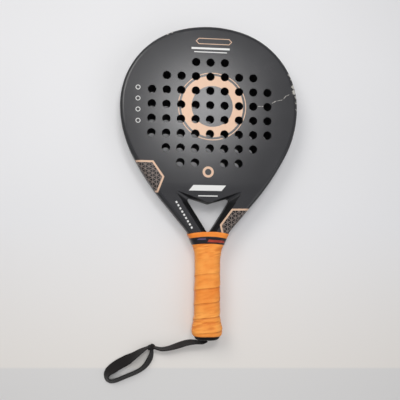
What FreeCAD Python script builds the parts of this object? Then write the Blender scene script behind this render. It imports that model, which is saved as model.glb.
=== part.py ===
import FreeCAD, Part
import math
import os

from FreeCAD import Placement, Rotation, Vector

# A padel racket lying on its back face. The origin is at the middle of its outline, on the back face:
# X runs across the head, Y from the butt to the head tip, and Z out of the front face.
os.makedirs("parts", exist_ok=True)
doc = FreeCAD.newDocument("PadelRacket")

drivingSizes = [
    ("overallLength", 455.0, "head tip to the end of the butt cap"),
    ("headWidth", 259.0, "widest part of the head"),
    ("overallDepth", 38.0, "back face to front face"),
    ("widestDrop", 117.6, "head tip down to the widest line"),
    ("crownFactor", 1.142, "crown radius over that of an ellipse as wide and as high"),
    ("flankFactor", 1.2, "radius below the widest line, over half the width"),
    ("taperFactor", 2.92, "radius that leads into the arms, over half the width"),
    ("flankAngle", 27.5, "turn of the flank arc, degrees"),
    ("armAngle", 40.0, "lean of the outer side of an arm, degrees"),
    ("neckRadius", 78.0, "hollow curve from an arm into the handle"),
    ("rimRadius", 6.0, "rounding of the outer edge"),
    ("rimLip", 1.5, "flat strip of frame round each face"),
    ("frameWidth", 16.0, "frame tube seen from the front"),
    ("frameWall", 3.0, "wall of the frame tube"),
    ("skinThickness", 1.4, "carbon face"),
    ("holePitch", 21.0, "square pitch of the face holes"),
    ("holeDiameter", 12.2, "face holes"),
    ("holeCentreDrop", 117.9, "head tip down to the fourth row of holes"),
    ("throatFootDrop", 7.7, "end of the straight arm down to the foot of the throat"),
    ("throatFootHalf", 0.8, "half the width of the throat at its foot"),
    ("throatHeight", 54.1, "foot of the throat up to its upper corners"),
    ("throatWallAngle", 32.4, "lean of the inner side of an arm, degrees"),
    ("throatCorner", 3.5, "rounding of the upper corners"),
    ("throatPoint", 4.0, "rounding of the bridge's point"),
    ("throatFoot", 0.3, "rounding of the two corners at the foot"),
    ("bridgeDip", 10.7, "upper corners of the throat down to the point of the bridge"),
    ("bridgeWidth", 18.0, "bridge along the racket"),
    ("bridgeWall", 2.5, "wall of the bridge tube"),
    ("bevelWingRun", 15.2, "tip of the bevel outward from the upper corner"),
    ("bevelWingRise", 8.8, "tip of the bevel above the upper corner"),
    ("bevelFootWidth", 7.5, "bevel beside the foot of the throat"),
    ("bevelPointWidth", 2.0, "bevel above the point of the bridge"),
    ("bevelTip", 1.2, "rounding of the tips of the bevel"),
    ("bevelPoint", 12.0, "rounding of the bevel above the bridge's point"),
    ("bevelFoot", 1.0, "rounding of the bevel at the foot"),
    ("bevelLand", 10.0, "half the height of the upright wall between the two bevels"),
    ("thinningRise", 15.0, "upper corners of the throat up to where the arms start to thin"),
    ("thinningEnd", 24.4, "foot of the throat down to where the handle has its own depth"),
    ("handleWidth", 31.9, "bare handle"),
    ("handleDepth", 28.6, "bare handle"),
    ("handleCorner", 10.0, "rounding of the bare handle"),
    ("shaftGap", 5.0, "foam strip between the two shafts of the handle"),
    ("throatWeb", 4.0, "solid web between the throat and the foam strip"),
    ("capPlate", 14.5, "end of the shafts to the end of the butt cap"),
    ("capSocket", 13.5, "depth of the cap's socket"),
    ("chamberWidth", 22.0, "room for the strap's bar inside the cap"),
    ("chamberHeight", 9.0, "room for the strap's bar inside the cap"),
    ("chamberDepth", 9.0, "room for the strap's bar inside the cap"),
    ("barDiameter", 4.0, "bar that holds the strap"),
    ("webWidth", 15.0, "strap webbing"),
    ("webThickness", 1.6, "strap webbing"),
    ("webClearance", 0.4, "round the webbing in the cap's slot"),
    ("baseGripThickness", 1.8, "cushioned base grip"),
    ("overgripThickness", 0.7, "overgrip"),
    ("tapeThickness", 0.7, "finishing tape"),
    ("gripSurfaceGap", 0.5, "overgrip above the surface that the racket lies on"),
    ("overgripTop", 3.0, "foot of the throat up to the crest of the overgrip's end"),
    ("baseGripStep", 0.8, "base grip's end below the overgrip's end"),
    ("tapeTopDrop", 7.0, "crest of the overgrip's end down to the tape"),
    ("tapeWidth", 10.0, "finishing tape"),
    ("bandRadius", 140.0, "curve of the wound ends, seen from the front"),
    ("skinRun", 15.0, "faces past the start of the straight handle"),
    ("gripEndRise", 6.5, "end of the butt cap up to the grips' lower end"),
    ("strapDiameter", 5.5, "round section with the webbing's own area"),
    ("knotLength", 13.0, "sewn knot of the strap"),
    ("knotWidth", 9.0, "sewn knot of the strap"),
    ("knotHeight", 10.0, "sewn knot of the strap"),
    ("knotRounding", 2.25, "edges of the sewn knot"),
]

# Sections of the butt cap below its mouth: distance from the cap's end, and how much half its width,
# half its depth and its corner radius are over those of the bare handle. The mouth is its top section.
capMouth = (0.65, 0.7, 0.2)
capSections = [
    (22.0, 1.65, 1.2, 0.6),
    (16.0, 3.05, 1.7, 1.2),
    (12.5, 3.25, 1.8, 1.4),
    (6.0, 2.45, 1.3, 1.2),
    (3.0, 1.25, 0.3, 0.6),
    (0.9, -1.15, -2.1, -0.8),
    (0.0, -4.15, -5.1, -2.7),
]

# Holes in each row, head tip first: the columns counted from the middle of the racket.
holeRows = [
    (-1, 0, 1),
    (-3, -2, -1, 0, 1, 2, 3),
    (-4, -3, -2, -1, 0, 1, 2, 3, 4),
    (-4, -3, -2, -1, 0, 1, 2, 3, 4),
    (-4, -3, -2, -1, 0, 1, 2, 3, 4),
    (-4, -3, -2, -1, 0, 1, 2, 3, 4),
    (-3, -2, -1, 0, 1, 2, 3),
    (-2, -1, 1, 2),
]
middleRow = 3

# Route of the wrist strap, from the mouth of the butt cap to its knot, and round its loop.
leadRoute = [
    (-1.0, -228.2, 19.0), (-3.2, -230.8, 18.7), (-7.6, -232.3, 17.9), (-14.8, -231.9, 16.2),
    (-25.0, -232.6, 13.2), (-35.5, -235.9, 10.2), (-46.0, -239.8, 8.2), (-56.5, -242.8, 7.2),
    (-65.0, -243.5, 7.0), (-73.0, -241.4, 7.1),
]
loopRoute = [
    (-84.0, -240.4, 7.0), (-94.6, -246.2, 7.0), (-105.4, -253.9, 6.8), (-115.4, -259.9, 6.4),
    (-125.6, -265.0, 6.0), (-135.4, -271.2, 5.8), (-141.4, -276.2, 5.8), (-143.0, -281.8, 5.9),
    (-140.2, -287.0, 5.9), (-134.4, -288.4, 5.9), (-124.6, -285.3, 6.0), (-113.6, -280.7, 6.3),
    (-102.9, -276.6, 6.6), (-93.0, -271.8, 6.8), (-86.3, -265.6, 7.0), (-81.6, -258.0, 7.0),
    (-79.1, -250.6, 7.0), (-78.5, -244.4, 7.0),
]
knotCentre = (-79.0, -240.4, 7.0)

sheet = doc.addObject("Spreadsheet::Sheet", "Dims")
for line, (alias, value, meaning) in enumerate(drivingSizes, start=1):
    sheet.set("A%d" % line, alias)
    sheet.set("B%d" % line, str(value))
    sheet.set("C%d" % line, meaning)
    sheet.setAlias("B%d" % line, alias)
doc.recompute()


def size(alias):
    # a driving size, read from the sheet
    return float(sheet.get(alias))


# places that follow from the driving sizes
overallLength = size("overallLength")
overallDepth = size("overallDepth")
middleZ = overallDepth / 2
tipY = overallLength / 2
buttY = -tipY
handleEndY = buttY + size("capPlate")
halfWidth = size("headWidth") / 2
widestY = tipY - size("widestDrop")
rimRadius = size("rimRadius")
skinInset = rimRadius + size("rimLip")
skinThickness = size("skinThickness")
frameWidth = size("frameWidth")
frameWall = size("frameWall")
neckRadius = size("neckRadius")
armLean = math.radians(size("armAngle"))
flankTurn = math.radians(size("flankAngle"))
past = 5.0   # how far a cutting solid runs past what it cuts
neckSteps = 9   # sections of the grips down the neck
straightShares = (0.35, 0.7, 1.0)   # sections of the grips down the straight handle
bendShare = 0.45   # of the shorter run beside a bend of the strap, taken up by its arc
wide = 2 * size("headWidth")   # wider than anything it cuts


def around(centre, radius, bearing):
    # point on a circle at a bearing counted clockwise from +Y
    return Vector(centre.x + radius * math.sin(bearing), centre.y + radius * math.cos(bearing), 0)


def headArcs():
    # right half of the head from the tip down: each arc's centre, radius, first and last bearing
    height = size("widestDrop")
    crownRadius = size("crownFactor") * halfWidth ** 2 / height
    crownCentre = Vector(0, tipY - crownRadius, 0)
    shoulderRadius = ((halfWidth ** 2 + height ** 2 - 2 * height * crownRadius)
                      / (2 * (halfWidth - crownRadius)))
    shoulderCentre = Vector(halfWidth - shoulderRadius, widestY, 0)
    crownTurn = math.atan2(shoulderCentre.x, shoulderCentre.y - crownCentre.y)
    flankRadius = size("flankFactor") * halfWidth
    flankCentre = Vector(halfWidth - flankRadius, widestY, 0)
    flankEnd = math.pi / 2 + flankTurn
    taperRadius = size("taperFactor") * halfWidth
    taperCentre = around(flankCentre, flankRadius - taperRadius, flankEnd)
    armBearing = math.pi / 2 + armLean
    return [
        (crownCentre, crownRadius, 0.0, crownTurn),
        (shoulderCentre, shoulderRadius, crownTurn, math.pi / 2),
        (flankCentre, flankRadius, math.pi / 2, flankEnd),
        (taperCentre, taperRadius, flankEnd, armBearing),
    ]


armOutward = Vector(math.cos(armLean), -math.sin(armLean), 0)
armDown = Vector(-math.sin(armLean), -math.cos(armLean), 0)


def armStart(inset=0.0):
    # where the taper arc ends and the straight arm begins
    centre, radius, _, last = headArcs()[-1]
    return around(centre, radius - inset, last)


# The neck's arc touches the arm's outer side and the handle's side.
neckX = size("handleWidth") / 2 + neckRadius
neckY = armStart().y + ((neckX - armStart().x) * armOutward.x - neckRadius) / -armOutward.y
neckCentre = Vector(neckX, neckY, 0)
armEnd = neckCentre - armOutward * neckRadius

footY = armEnd.y - size("throatFootDrop")
cornerY = footY + size("throatHeight")
cornerX = size("throatFootHalf") + size("throatHeight") * math.tan(math.radians(size("throatWallAngle")))
pointY = cornerY - size("bridgeDip")
bridgeSlope = size("bridgeDip") / cornerX
slotTopY = footY - size("throatWeb")
gripThickness = size("baseGripThickness") + size("overgripThickness")
neckHalfDepth = middleZ - gripThickness - size("gripSurfaceGap")
handleHalfDepth = size("handleDepth") / 2
thinEndY = footY - size("thinningEnd")
skinEndY = neckCentre.y + size("skinRun")
overgripTopY = footY + size("overgripTop")
tapeTopY = overgripTopY - size("tapeTopDrop")
gripEndY = buttY + size("gripEndRise")

# Half depth of the bare racket along its length, from the head tip down.
depthLine = [
    (tipY + past, middleZ),
    (cornerY + size("thinningRise"), middleZ),
    (footY, neckHalfDepth),
    (thinEndY, handleHalfDepth),
    (handleEndY, handleHalfDepth),
]


def bareHalfDepth(y):
    # straight-line reading of the depth line
    for (upperY, upper), (lowerY, lower) in zip(depthLine, depthLine[1:]):
        if lowerY <= y <= upperY:
            return lower + (upper - lower) * (y - lowerY) / (upperY - lowerY)
    return handleHalfDepth


def neckHalfWidth(y, offset):
    # side of the neck moved outward by the offset, or of the straight handle below it
    reach = neckRadius - offset
    if y <= neckCentre.y:
        return neckX - reach
    return neckX - math.sqrt(reach ** 2 - (y - neckCentre.y) ** 2)


# outlines
def arcEdge(centre, radius, first, last):
    # arc between two bearings
    middle = (first + last) / 2
    return Part.Arc(around(centre, radius, first), around(centre, radius, middle),
                    around(centre, radius, last)).toShape()


def lineEdge(start, end):
    # straight edge
    return Part.LineSegment(start, end).toShape()


def mirrored(edges):
    # the same edges on the other side of the YZ plane
    return [edge.mirror(Vector(0, 0, 0), Vector(1, 0, 0)) for edge in edges]


def closedFace(edges):
    # flat face inside edges that join end to end
    return Part.Face(Part.Wire(Part.__sortEdges__(edges)))


def racketFace(inset):
    # head, arms and neck, down to the straight handle, drawn in by the inset
    right = [arcEdge(centre, radius - inset, first, last) for centre, radius, first, last in headArcs()]
    start = armStart(inset)
    end = neckCentre - armOutward * (neckRadius + inset)
    right.append(lineEdge(start, end))
    side = Vector(neckX - neckRadius - inset, neckCentre.y, 0)
    halfLean = armLean / 2
    middle = neckCentre - Vector(math.cos(halfLean), -math.sin(halfLean), 0) * (neckRadius + inset)
    right.append(Part.Arc(end, middle, side).toShape())
    across = lineEdge(side, Vector(-side.x, side.y, 0))
    return closedFace(right + [across] + mirrored(right))


def headFace(inset):
    # the head alone, its sides running straight down to a point on the axis
    right = [arcEdge(centre, radius - inset, first, last) for centre, radius, first, last in headArcs()]
    start = armStart(inset)
    tip = start + armDown * (start.x / math.sin(armLean))
    right.append(lineEdge(start, Vector(0, tip.y, 0)))
    return closedFace(right + mirrored(right))


def upright(face, low, high):
    # face drawn at Z = 0, made into a solid between two heights
    solid = face.extrude(Vector(0, 0, high - low))
    solid.translate(Vector(0, 0, low))
    return solid


def roundedWire(points, radii, height):
    # closed polygon with an arc at each corner
    edges = []
    ends = []
    for index, corner in enumerate(points):
        before = (points[index - 1] - corner).normalize()
        after = (points[(index + 1) % len(points)] - corner).normalize()
        half = before.getAngle(after) / 2
        reach = radii[index] / math.tan(half)
        inward = (before + after).normalize()
        middle = corner + inward * (radii[index] / math.sin(half) - radii[index])
        ends.append((corner + before * reach, middle, corner + after * reach))
    for index, (first, middle, last) in enumerate(ends):
        edges.append(Part.Arc(first, middle, last).toShape())
        edges.append(lineEdge(last, ends[(index + 1) % len(ends)][0]))
    wire = Part.Wire(edges)
    wire.translate(Vector(0, 0, height))
    return wire


def grownPolygon(points, amount):
    # every side of a polygon, listed clockwise, moved outward by the amount
    grown = []
    for index, corner in enumerate(points):
        before = (corner - points[index - 1]).normalize()
        after = (points[(index + 1) % len(points)] - corner).normalize()
        normalBefore = Vector(-before.y, before.x, 0)
        normalAfter = Vector(-after.y, after.x, 0)
        share = amount / (1 + normalBefore.dot(normalAfter))
        grown.append(corner + (normalBefore + normalAfter) * share)
    return grown


# solids that several pieces share
def depthSolid(inset):
    # everything between the back and the front surface, both moved inward by the inset
    bend = 150.0   # radius of the soft bends where the depth changes
    top = [Vector(-wide, y, middleZ + half - inset) for y, half in depthLine]
    edges = []
    start = top[0]
    for before, corner, after in zip(top, top[1:], top[2:]):
        back = (before - corner).normalize()
        forth = (after - corner).normalize()
        turn = math.pi - back.getAngle(forth)
        first = corner + back * (bend * math.tan(turn / 2))
        last = corner + forth * (bend * math.tan(turn / 2))
        if turn > 1e-6:
            centre = corner + (back + forth).normalize() * (bend / math.cos(turn / 2))
            middle = centre + (corner - centre).normalize() * bend
            edges += [lineEdge(start, first), Part.Arc(first, middle, last).toShape()]
            start = last
    edges.append(lineEdge(start, top[-1]))
    mirror = [edge.mirror(Vector(0, 0, middleZ), Vector(0, 0, 1)) for edge in edges]
    flipped = [Vector(-wide, end.y, 2 * middleZ - end.z) for end in (top[0], top[-1])]
    ends = [lineEdge(top[0], flipped[0]), lineEdge(top[-1], flipped[1])]
    return closedFace(edges + mirror + ends).extrude(Vector(2 * wide, 0, 0))


def handlePrism(inset, endY):
    # straight handle below the neck, with rounded corners, moved inward by the inset
    halfX = size("handleWidth") / 2 - inset
    halfZ = handleHalfDepth - inset
    corners = [Vector(-halfX, -halfZ, 0), Vector(-halfX, halfZ, 0), Vector(halfX, halfZ, 0),
               Vector(halfX, -halfZ, 0)]
    radius = size("handleCorner") - inset
    prism = Part.Face(roundedWire(corners, [radius] * 4, 0)).extrude(Vector(0, 0, neckCentre.y - endY))
    prism.Placement = Placement(Vector(0, neckCentre.y, middleZ), Rotation(Vector(1, 0, 0), 90))
    return prism


def isRim(solid, edge):
    # an edge between an upright side and the front or back surface
    middle = edge.valueAt((edge.FirstParameter + edge.LastParameter) / 2)
    steepness = []
    for face in solid.ancestorsOfType(edge, Part.Face):
        normal = face.normalAt(*face.Surface.parameter(middle))
        steepness.append(abs(normal.z))
    onSide = middle.y > neckCentre.y + 1e-3
    return onSide and len(steepness) == 2 and min(steepness) < 0.1 and max(steepness) > 0.9


def bareRacket():
    # outside of the frame before anything is cut from it
    blank = upright(racketFace(0.0), -past, overallDepth + past).common(depthSolid(0.0)).Solids[0]
    blank = blank.makeFillet(rimRadius, [edge for edge in blank.Edges if isRim(blank, edge)])
    return blank.fuse(handlePrism(0.0, handleEndY))


def throatPoints():
    # corners of the throat, clockwise from the upper left, with the bridge's point between the upper two
    foot = size("throatFootHalf")
    return [Vector(-cornerX, cornerY, 0), Vector(0, pointY, 0), Vector(cornerX, cornerY, 0),
            Vector(foot, footY, 0), Vector(-foot, footY, 0)]


def bevelPoints():
    # outer line of the bevel on the faces, in the same order
    wingX = cornerX + size("bevelWingRun")
    wingY = cornerY + size("bevelWingRise")
    footX = size("throatFootHalf") + size("bevelFootWidth")
    return [Vector(-wingX, wingY, 0), Vector(0, pointY + size("bevelPointWidth"), 0),
            Vector(wingX, wingY, 0), Vector(footX, footY, 0), Vector(-footX, footY, 0)]


def throatSolid(grow=0.0):
    # the throat's opening with its bevels, every side moved outward by the growth
    corner = size("throatCorner")
    inner = grownPolygon(throatPoints(), grow)
    outer = grownPolygon(bevelPoints(), grow)
    land = size("bevelLand")
    beyond = (middleZ + past - land) / (middleZ - land)   # carries the bevel's slope past the face
    outer = [start + (end - start) * beyond for start, end in zip(inner, outer)]
    foot, tip, bevelFoot = size("throatFoot"), size("bevelTip"), size("bevelFoot")
    innerRadii = [corner + grow, size("throatPoint"), corner + grow, foot, foot]
    outerRadii = [tip, size("bevelPoint"), tip, bevelFoot, bevelFoot]
    solid = Part.Face(roundedWire(inner, innerRadii, -past)).extrude(Vector(0, 0, overallDepth + 2 * past))
    for side in (-1, 1):
        start = roundedWire(inner, innerRadii, middleZ + side * land)
        end = roundedWire(outer, outerRadii, middleZ + side * (middleZ + past))
        solid = solid.fuse(Part.makeLoft([start, end], True, True))
    return solid


def aboveBridgeLine(rise):
    # everything on the head's side of the bridge's lower edge, which is moved up by the rise
    lift = rise * math.sqrt(1 + bridgeSlope ** 2)
    side = Vector(wide, pointY + lift + bridgeSlope * wide, 0)
    top = Vector(wide, tipY + wide, 0)
    corners = [Vector(0, pointY + lift, 0), side, top, Vector(-top.x, top.y, 0), Vector(-side.x, side.y, 0)]
    return upright(Part.Face(Part.makePolygon(corners + corners[:1])), -past, overallDepth + past)


def headHollow(shrink=0.0):
    # space inside the head's frame, above the bridge's lower edge
    face = headFace(frameWidth + shrink)
    return upright(face, -past, overallDepth + past).common(aboveBridgeLine(shrink))


def slotSolid(grow=0.0):
    # gap between the two shafts of the handle
    halfGap = size("shaftGap") / 2 + grow
    length = slotTopY + grow - handleEndY + past
    return Part.makeBox(2 * halfGap, length, overallDepth + 2 * past,
                        Vector(-halfGap, handleEndY - past, -past))


def skinSlab(side):
    # layer as thick as a face, at the front (1) or the back (-1)
    outer = depthSolid(0.0)
    inner = depthSolid(0.0)
    inner.translate(Vector(0, 0, -side * skinThickness))
    return outer.cut(inner)


def skinBlank(side):
    # face skin before its holes: head and arms, down into the grips
    keep = Part.makeBox(2 * wide, wide + tipY - skinEndY, 4 * overallDepth,
                        Vector(-wide, skinEndY, -overallDepth))
    plan = upright(racketFace(skinInset), -past, overallDepth + past).common(keep)
    return plan.common(skinSlab(side)).cut(throat)


def frameHollow():
    # inside of the frame tube: open at the two ends of the handle
    wall = frameWall
    plan = upright(racketFace(wall), -past, overallDepth + past).common(depthSolid(skinThickness + wall))
    inside = plan.fuse(handlePrism(wall, handleEndY - past))
    ring = upright(headFace(frameWidth - wall), -past, overallDepth + past).common(aboveBridgeLine(-wall))
    return inside.cut(ring).cut(throatSolid(wall)).cut(slotSolid(wall))


def bridgeSolid():
    # tube across the bottom of the head, a V seen from the front
    wall = size("bridgeWall")
    width = size("bridgeWidth")
    outside = headHollow().common(depthSolid(skinThickness)).cut(aboveBridgeLine(width)).cut(throat)
    inside = headHollow(wall).common(depthSolid(skinThickness + wall)).cut(aboveBridgeLine(width - wall))
    return outside.cut(inside.cut(throatSolid(wall)))


def solidFeature(name, shape):
    # document object for a shape made by formula: its only solid, cleaned of stray seams
    feature = doc.addObject("Part::Feature", name)
    feature.Shape = shape.Solids[0] if len(shape.Solids) == 1 else shape
    return feature


bare = bareRacket()
throat = throatSolid()

# frame, bridge, core and faces
frontBlank = solidFeature("frontBlank", skinBlank(1))
backBlank = solidFeature("backBlank", skinBlank(-1))
skins = frontBlank.Shape.fuse(backBlank.Shape)
frameShape = bare.cut(headHollow()).cut(throat).cut(slotSolid()).cut(skins).cut(frameHollow())
frameTube = solidFeature("frame_tube", frameShape)
bridgeTube = solidFeature("bridge_tube", bridgeSolid())
coreShape = headHollow().common(aboveBridgeLine(size("bridgeWidth"))).common(depthSolid(skinThickness))
coreBlank = solidFeature("coreBlank", coreShape)


def bound(feature, **expressions):
    # ties properties of a document object to the sheet; two underscores stand for a dot
    for name, expression in expressions.items():
        feature.setExpression(name.replace("__", "."), expression)
    return feature


holes = []
for row, columns in enumerate(holeRows):
    for column in columns:
        hole = doc.addObject("Part::Cylinder", "hole")
        bound(hole, Radius="Dims.holeDiameter / 2", Height="Dims.overallDepth * 2",
              Placement__Base__x="%d * Dims.holePitch" % column,
              Placement__Base__y="Dims.overallLength / 2 - Dims.holeCentreDrop + %d * Dims.holePitch"
              % (middleRow - row),
              Placement__Base__z="-Dims.overallDepth / 2")
        holes.append(hole)
holePattern = doc.addObject("Part::Compound", "holePattern")
holePattern.Links = holes


def cutObject(name, base, tool):
    # document boolean: base without tool
    cut = doc.addObject("Part::Cut", name)
    cut.Base = base
    cut.Tool = tool
    return cut


foamCore = cutObject("foam_core", coreBlank, holePattern)
frontFace = cutObject("front_face", frontBlank, holePattern)
backFace = cutObject("back_face", backBlank, holePattern)

# foam strip between the shafts
stripShape = bare.common(slotSolid()).cut(skins)
handleFoam = solidFeature("handle_foam", stripShape)


# butt cap, and the strap's bar and webbing inside it
def sectionWire(y, halfX, halfZ, radius):
    # rounded rectangle across the handle
    corners = [Vector(-halfX, -halfZ, 0), Vector(-halfX, halfZ, 0), Vector(halfX, halfZ, 0),
               Vector(halfX, -halfZ, 0)]
    wire = roundedWire(corners, [radius] * 4, 0)
    wire.Placement = Placement(Vector(0, y, middleZ), Rotation(Vector(1, 0, 0), 90))
    return wire


socketTopY = handleEndY + size("capSocket")


def capLoft(offset):
    # outside of the cap moved outward by the offset, from its mouth down
    halfX = size("handleWidth") / 2 + offset
    halfZ = handleHalfDepth + offset
    radius = size("handleCorner") + offset
    margins = [(socketTopY,) + capMouth] + [(buttY + section[0],) + section[1:] for section in capSections]
    return [sectionWire(y, halfX + across, halfZ + through, radius + corner)
            for y, across, through, corner in margins]


capOutside = Part.makeLoft(capLoft(0.0), True, False)
capBlank = solidFeature("capBlank", capOutside.cut(handlePrism(0.0, handleEndY)))

chamber = bound(doc.addObject("Part::Box", "chamber"), Length="Dims.chamberWidth",
                Width="Dims.chamberDepth", Height="Dims.chamberHeight",
                Placement__Base__x="-Dims.chamberWidth / 2",
                Placement__Base__y="Dims.capPlate - Dims.overallLength / 2 - Dims.chamberDepth",
                Placement__Base__z="Dims.overallDepth / 2 - Dims.chamberHeight / 2")
slotMouth = bound(doc.addObject("Part::Box", "slotMouth"), Length="Dims.webWidth + 2 * Dims.webClearance",
                  Width="Dims.capPlate", Height="2 * Dims.webThickness + 2 * Dims.webClearance",
                  Placement__Base__x="-Dims.webWidth / 2 - Dims.webClearance",
                  Placement__Base__y="-Dims.overallLength / 2 - Dims.capPlate / 2",
                  Placement__Base__z="Dims.overallDepth / 2 - Dims.webThickness - Dims.webClearance")
capRoom = doc.addObject("Part::MultiFuse", "capRoom")
capRoom.Shapes = [chamber, slotMouth]
buttCap = cutObject("butt_cap", capBlank, capRoom)

barY = "Dims.capPlate - Dims.overallLength / 2 - Dims.chamberDepth / 2"


def crossCylinder(name, radius, length):
    # cylinder along X through the middle of the chamber
    cylinder = doc.addObject("Part::Cylinder", name)
    bound(cylinder, Radius=radius, Height=length, Placement__Base__x="-(%s) / 2" % length,
          Placement__Base__y=barY, Placement__Base__z="Dims.overallDepth / 2")
    cylinder.Placement.Rotation = Rotation(Vector(0, 1, 0), 90)
    return cylinder


strapBar = crossCylinder("strap_bar", "Dims.barDiameter / 2", "Dims.chamberWidth")
boreTool = crossCylinder("webBore", "Dims.barDiameter / 2", "Dims.chamberWidth")
webRound = crossCylinder("webRound", "Dims.barDiameter / 2 + Dims.webThickness", "Dims.webWidth")
webTongue = bound(doc.addObject("Part::Box", "webTongue"), Length="Dims.webWidth",
                  Width="Dims.capPlate - Dims.chamberDepth / 2", Height="2 * Dims.webThickness",
                  Placement__Base__x="-Dims.webWidth / 2", Placement__Base__y="-Dims.overallLength / 2",
                  Placement__Base__z="Dims.overallDepth / 2 - Dims.webThickness")
webSolid = doc.addObject("Part::Fuse", "webSolid")
webSolid.Base = webRound
webSolid.Tool = webTongue
strapAnchor = cutObject("strap_anchor", webSolid, boreTool)


# base grip, overgrip and finishing tape
def gripLoft(offset, topY):
    # outside of whatever is wound on the handle, an offset outside the neck, the handle and the cap
    radius = rimRadius + offset
    straightEnd = socketTopY + 2 * past
    wires = []
    for step in range(neckSteps + 1):
        blend = step / neckSteps
        y = topY + past + (neckCentre.y - topY - past) * blend
        corner = radius + (size("handleCorner") - rimRadius) * blend
        wires.append(sectionWire(y, neckHalfWidth(y, offset), bareHalfDepth(y) + offset, corner))
    corner = size("handleCorner") + offset
    for share in straightShares:
        y = neckCentre.y + (straightEnd - neckCentre.y) * share
        wires.append(sectionWire(y, neckHalfWidth(y, offset), handleHalfDepth + offset, corner))
    wires += capLoft(offset)
    return Part.makeLoft(wires, True, False)


def belowCrest(crestY):
    # everything on the butt's side of a curved line, whose crest is on the axis
    radius = size("bandRadius")
    disc = Part.makeCylinder(radius, overallDepth + 4 * past, Vector(0, crestY - radius, -2 * past))
    lower = Part.makeBox(2 * wide, wide, overallDepth + 4 * past,
                         Vector(-wide, crestY - radius - wide, -2 * past))
    return disc.fuse(lower)


def aboveLevel(y):
    # everything on the head's side of a straight line
    return Part.makeBox(2 * wide, wide, overallDepth + 4 * past, Vector(-wide, y, -2 * past))


baseOutside = gripLoft(size("baseGripThickness"), overgripTopY)
gripOutside = gripLoft(gripThickness, overgripTopY)
tapeOutside = gripLoft(gripThickness + size("tapeThickness"), overgripTopY)
gripRange = belowCrest(overgripTopY).common(aboveLevel(gripEndY))
baseRange = belowCrest(overgripTopY - size("baseGripStep")).common(aboveLevel(gripEndY))
tapeRange = belowCrest(tapeTopY).cut(belowCrest(tapeTopY - size("tapeWidth")))

baseShape = baseOutside.common(baseRange).cut(bare).cut(capOutside)
baseGrip = solidFeature("base_grip", baseShape)
overgripShape = gripOutside.common(gripRange).cut(baseShape).cut(bare).cut(capOutside)
overgrip = solidFeature("overgrip", overgripShape)
finishingTape = solidFeature("finishing_tape", tapeOutside.common(tapeRange).cut(gripOutside))


# wrist strap
def strapTube(name, route):
    # round tube of straight runs joined by tangent arcs, each as large as its two runs allow
    points = [Vector(*point) for point in route]
    edges = []
    length = 0.0
    start = points[0]
    for before, corner, after in zip(points, points[1:], points[2:]):
        back = (before - corner)
        forth = (after - corner)
        shorter = min(back.Length, forth.Length)
        back.normalize()
        forth.normalize()
        turn = math.pi - back.getAngle(forth)
        reach = bendShare * shorter
        radius = reach / math.tan(turn / 2)
        print("%s: turn %.0f degrees, radius %.1f" % (name, math.degrees(turn), radius))
        centre = corner + (back + forth).normalize() * (radius / math.cos(turn / 2))
        middle = centre + (corner - centre).normalize() * radius
        first = corner + back * reach
        last = corner + forth * reach
        edges += [lineEdge(start, first), Part.Arc(first, middle, last).toShape()]
        length += (first - start).Length + radius * turn
        start = last
    edges.append(lineEdge(start, points[-1]))
    length += (points[-1] - start).Length
    path = Part.Wire(edges)
    section = Part.Wire(Part.Circle(points[0], points[1] - points[0], size("strapDiameter") / 2).toShape())
    feature = solidFeature(name, path.makePipeShell([section], True, False))
    expected = math.pi * size("strapDiameter") ** 2 / 4 * length
    print("%s: length %.1f, volume %.0f, section times length %.0f"
          % (name, length, feature.Shape.Volume, expected))
    return feature


strapLead = strapTube("strap_lead", leadRoute)
strapLoop = strapTube("strap_loop", loopRoute)

knotBlock = bound(doc.addObject("Part::Box", "knotBlock"), Length="Dims.knotLength",
                  Width="Dims.knotWidth", Height="Dims.knotHeight")
knotBlock.Placement.Base = Vector(*knotCentre) - Vector(size("knotLength"), size("knotWidth"),
                                                         size("knotHeight")) / 2
doc.recompute()
strapKnot = doc.addObject("Part::Fillet", "strap_knot")
strapKnot.Base = knotBlock
knotRounding = size("knotRounding")
strapKnot.Edges = [(index + 1, knotRounding, knotRounding) for index in range(len(knotBlock.Shape.Edges))]

# checks and export
nodes = [frameTube, bridgeTube, foamCore, frontFace, backFace, handleFoam, buttCap, strapBar, strapAnchor,
         baseGrip, overgrip, finishingTape, strapLead, strapKnot, strapLoop]
doc.recompute()
for item in doc.Objects:
    if "Invalid" in item.State or "Error" in item.State:
        raise RuntimeError("%s did not build: %s" % (item.Name, item.State))
for node in nodes:
    node.Label = node.Name
    if node.Shape.isNull() or not node.Shape.isValid():
        raise RuntimeError("%s has no valid shape" % node.Name)
    print("%-15s solids %d, volume %.0f" % (node.Name, len(node.Shape.Solids), node.Shape.Volume))
    node.Shape.exportStep("parts/%s.step" % node.Name)
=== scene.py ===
import math
import bpy
import numpy as np
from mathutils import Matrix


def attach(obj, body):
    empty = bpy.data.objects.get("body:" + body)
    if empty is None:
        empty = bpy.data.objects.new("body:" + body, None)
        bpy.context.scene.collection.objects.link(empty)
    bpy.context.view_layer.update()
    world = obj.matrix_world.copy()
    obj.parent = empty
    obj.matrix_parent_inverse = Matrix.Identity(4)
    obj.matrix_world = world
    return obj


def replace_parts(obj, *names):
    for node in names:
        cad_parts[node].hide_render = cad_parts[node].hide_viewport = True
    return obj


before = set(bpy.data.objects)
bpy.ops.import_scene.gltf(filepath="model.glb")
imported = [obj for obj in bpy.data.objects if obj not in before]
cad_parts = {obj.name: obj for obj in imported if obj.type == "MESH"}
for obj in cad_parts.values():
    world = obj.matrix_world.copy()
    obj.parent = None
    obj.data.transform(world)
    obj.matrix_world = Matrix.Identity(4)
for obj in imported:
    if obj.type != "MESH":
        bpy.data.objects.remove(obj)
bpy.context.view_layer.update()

mm = 0.001
faceHeight = 38.0      # mm, the front face above the surface that the racket lies on
noiseSize = 256        # rows and columns of random numbers behind each noise
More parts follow.
